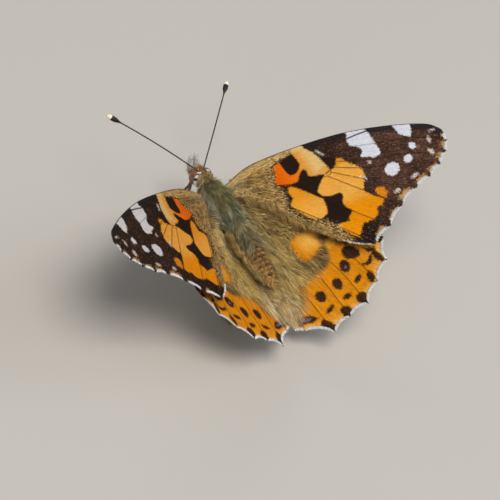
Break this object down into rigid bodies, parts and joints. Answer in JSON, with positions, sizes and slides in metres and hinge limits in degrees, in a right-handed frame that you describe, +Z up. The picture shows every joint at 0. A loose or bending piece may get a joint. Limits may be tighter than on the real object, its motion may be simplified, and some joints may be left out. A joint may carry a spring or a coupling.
{
  "type": "painted lady butterfly",
  "caption": "Life-size painted lady butterfly standing with its wings spread in a shallow V, scalloped wings with raised veins, clubbed feelers.",
  "frame": {"origin": "on the floor, under the middle of the outline", "axes": "+X to the butterfly's right, along the wingspan; +Y towards its head; +Z up from the floor"},
  "size_m": [0.0542, 0.0394, 0.0222],
  "materials": {
    "wing": "orange, black and white wing scales",
    "fur": "soft grey-green hair",
    "abdomen_fur": "golden brown scales and hair",
    "eye": "faceted, dark, low gloss",
    "cuticle": "black satin cuticle",
    "leg": "buff scales over brown cuticle"
  },
  "bodies": {
    "root": {"thorax": "fur", "abdomen": "abdomen_fur", "head": "fur", "proboscis": "cuticle", "forewing_left": "wing", "forewing_right": "wing", "hindwing_left": "wing", "hindwing_right": "wing", "eye_left": "eye", "eye_right": "eye", "palp_left": "fur", "palp_right": "fur", "antenna_left": "cuticle", "antenna_right": "cuticle", "foreleg_left": "leg", "foreleg_right": "leg", "midleg_left": "leg", "midleg_right": "leg", "hindleg_left": "leg", "hindleg_right": "leg"}
  },
  "joints": []
}
